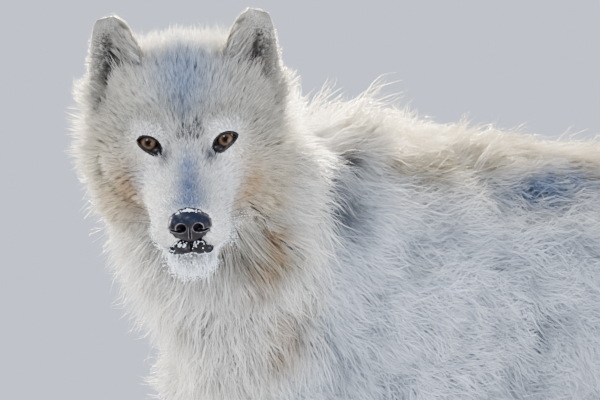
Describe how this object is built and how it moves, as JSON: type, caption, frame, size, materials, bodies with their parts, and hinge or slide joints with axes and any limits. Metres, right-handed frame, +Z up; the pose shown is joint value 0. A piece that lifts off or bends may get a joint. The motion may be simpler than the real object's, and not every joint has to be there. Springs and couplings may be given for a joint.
{
  "type": "arctic wolf",
  "caption": "Life-size still model of a standing arctic wolf in thick winter coat, head turned to its left, mouth shut, tail hanging relaxed.",
  "frame": {"origin": "middle of the whole box, at floor level", "axes": "+Z up, trunk facing -Y, +X the wolf's left"},
  "size_m": [0.436, 1.2878, 0.873],
  "materials": {
    "winter_coat": "soft white fur",
    "mane_coat": "long cream fur",
    "leg_coat": "short white fur",
    "nose_leather": "moist black leather",
    "amber_eye": "wet gloss"
  },
  "bodies": {
    "root": {"head": "winter_coat", "lower_jaw": "winter_coat", "ear_left": "winter_coat", "ear_right": "winter_coat", "eye_left": "amber_eye", "eye_right": "amber_eye", "nose": "nose_leather", "neck": "mane_coat", "trunk": "mane_coat", "tail": "mane_coat", "leg_front_left": "leg_coat", "leg_front_right": "leg_coat", "leg_hind_left": "leg_coat", "leg_hind_right": "leg_coat", "paw_front_left": "leg_coat", "paw_front_right": "leg_coat", "paw_hind_left": "leg_coat", "paw_hind_right": "leg_coat"}
  },
  "joints": []
}
